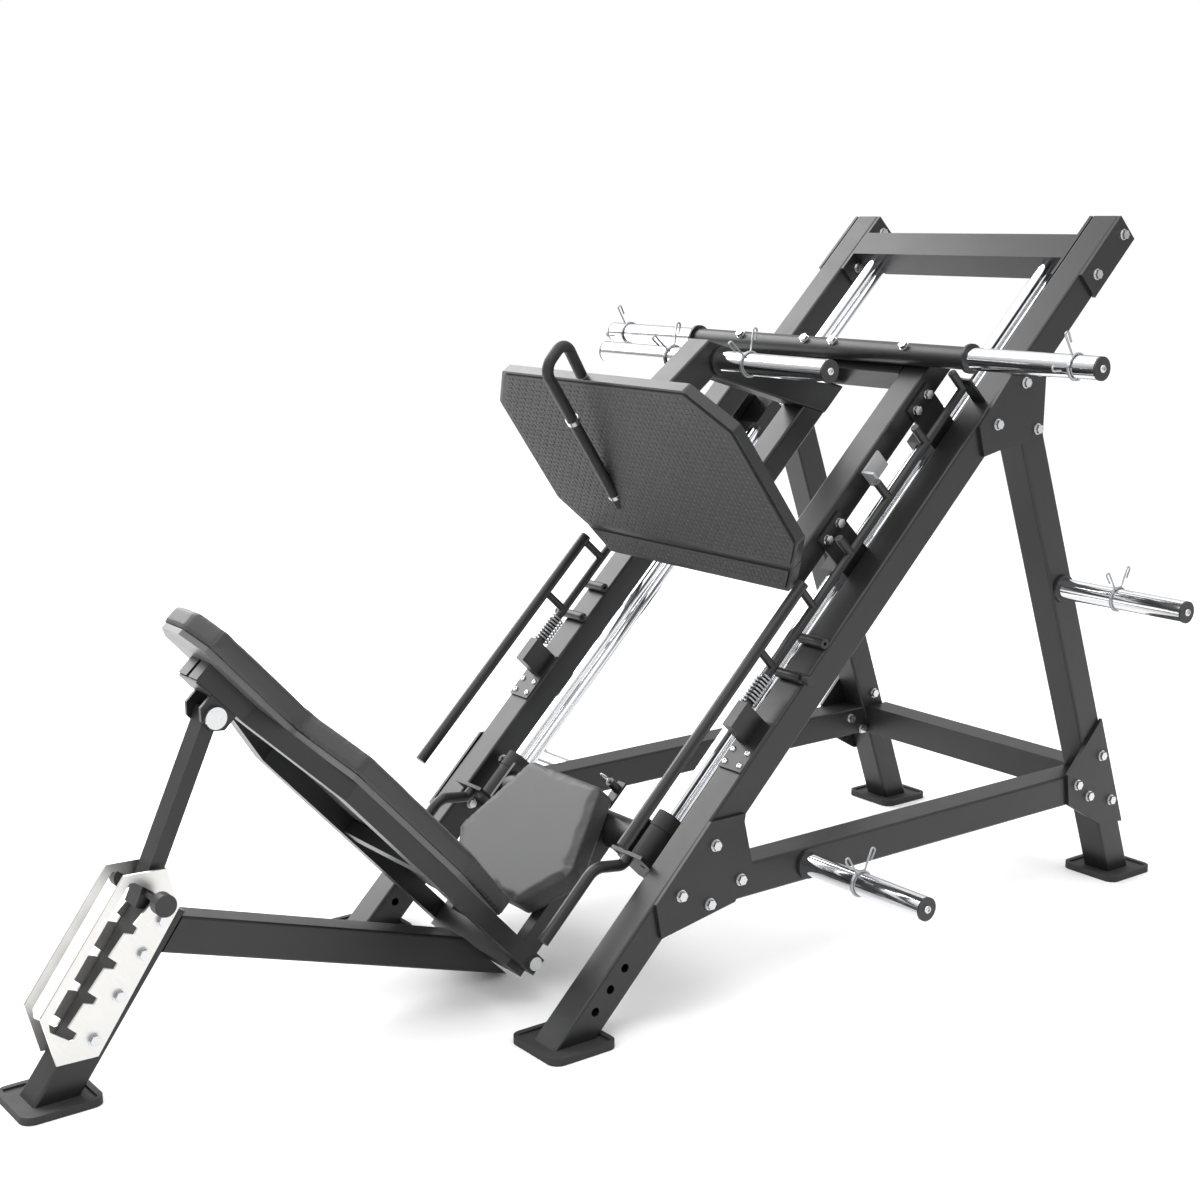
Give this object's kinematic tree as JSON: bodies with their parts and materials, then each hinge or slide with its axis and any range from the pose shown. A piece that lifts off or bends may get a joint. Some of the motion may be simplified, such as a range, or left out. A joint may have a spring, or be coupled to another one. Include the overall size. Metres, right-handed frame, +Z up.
{
  "type": "hack squat machine",
  "caption": "Plate-loaded hack squat and leg press frame: inclined rails, sliding sled with foot plate, adjustable reclining backrest, safety levers and weight sleeves.",
  "frame": {"origin": "on the floor at the middle of the footprint", "axes": "+X towards the raised end of the rails, +Y to the left of a user facing the foot plate, +Z up"},
  "size_m": [2.7948, 1.62, 1.637],
  "materials": {
    "powder_coat": "satin black powder coat",
    "chrome": "bright plated",
    "ladder_steel": "brushed stainless",
    "rubber": "moulded rubber",
    "plastic": "moulded black plastic",
    "foam": "foam grip",
    "vinyl": "black vinyl upholstery",
    "board": "grey laminated board",
    "grey_paint": "light grey paint"
  },
  "bodies": {
    "frame": {"rail_left": "powder_coat", "rail_right": "powder_coat", "rear_leg_left": "powder_coat", "rear_leg_right": "powder_coat", "base_rail_left": "powder_coat", "base_rail_right": "powder_coat", "gussets_left": "powder_coat", "gussets_right": "powder_coat", "top_crossbar": "powder_coat", "rear_crossbar": "powder_coat", "front_post": "powder_coat", "front_beam": "powder_coat", "rod_bracket_left": "powder_coat", "rod_bracket_right": "powder_coat", "cross_tube": "powder_coat", "seat_frame": "powder_coat", "safety_mount_left": "powder_coat", "safety_mount_right": "powder_coat", "ladder_plate_left": "ladder_steel", "ladder_plate_right": "ladder_steel", "feet": "rubber", "guide_rods": "chrome", "rod_bumpers": "rubber", "seat_pad": "vinyl", "hand_grip_left": "foam", "hand_grip_right": "foam", "pivot_bolts": "chrome", "storage_horns": "chrome", "storage_horn_trim": "plastic", "storage_collars": "chrome", "safety_springs": "chrome", "frame_bolts": "chrome"},
    "sled": {"sled_arm_upper": "powder_coat", "sled_arm_lower": "powder_coat", "sled_spine": "powder_coat", "sled_side_tube_left": "powder_coat", "sled_side_tube_right": "powder_coat", "sled_cross_tube": "powder_coat", "foot_plate": "powder_coat", "weight_pipe": "powder_coat", "bearing_housing_left": "powder_coat", "bearing_housing_right": "powder_coat", "foot_plate_tread": "rubber", "hook_handle": "foam", "weight_horns": "chrome", "sled_horn_trim": "plastic", "sled_collars": "chrome", "catch_plates": "grey_paint", "sled_bolts": "chrome"},
    "safety_left": {"safety_lever_left": "powder_coat"},
    "safety_right": {"safety_lever_right": "powder_coat"},
    "pull_pin_left": {"pull_pin_left": "chrome"},
    "pull_pin_right": {"pull_pin_right": "chrome"},
    "seat_pin": {"seat_pop_pin": "chrome"},
    "backrest": {"backrest_pad": "vinyl", "backrest_board": "board", "backrest_frame": "powder_coat", "strut_hinge_bolt": "chrome"},
    "strut": {"backrest_strut": "powder_coat", "strut_pin": "plastic"}
  },
  "joints": [
    {"name": "sled_slide", "type": "slide", "parent": "frame", "child": "sled", "axis": [0.7071, 0, 0.7071], "range_m": [-0.585, 0.44]},
    {"name": "lever_left_turn", "type": "hinge", "parent": "frame", "child": "safety_left", "pos_m": [-0.50062, 0.377, 0.03818], "axis": [-0.7071, 0, -0.7071], "range_deg": [0, 45]},
    {"name": "lever_right_turn", "type": "hinge", "parent": "frame", "child": "safety_right", "pos_m": [-0.50062, -0.377, 0.03818], "axis": [0.7071, 0, 0.7071], "range_deg": [0, 45]},
    {"name": "backrest_tilt", "type": "hinge", "parent": "frame", "child": "backrest", "pos_m": [-0.33516, 0, 0.09192], "axis": [0, -1, 0], "range_deg": [0, 17.5]},
    {"name": "strut_swing", "type": "hinge", "parent": "backrest", "child": "strut", "pos_m": [-0.96638, 0, 0.69698], "axis": [0, -1, 0], "range_deg": [-25.38, 0]},
    {"name": "pull_pin_left_slide", "type": "slide", "parent": "frame", "child": "pull_pin_left", "axis": [0, 1, 0], "range_m": [0, 0.025], "stiffness_N_per_m": 300},
    {"name": "pull_pin_right_slide", "type": "slide", "parent": "frame", "child": "pull_pin_right", "axis": [0, -1, 0], "range_m": [0, 0.025], "stiffness_N_per_m": 300},
    {"name": "seat_pin_slide", "type": "slide", "parent": "frame", "child": "seat_pin", "axis": [-0.7071, 0, 0.7071], "range_m": [0, 0.012], "stiffness_N_per_m": 300}
  ],
  "couplings": [
    {"joint": "strut_swing", "follows": "backrest_tilt", "ratio": -1.45}
  ]
}
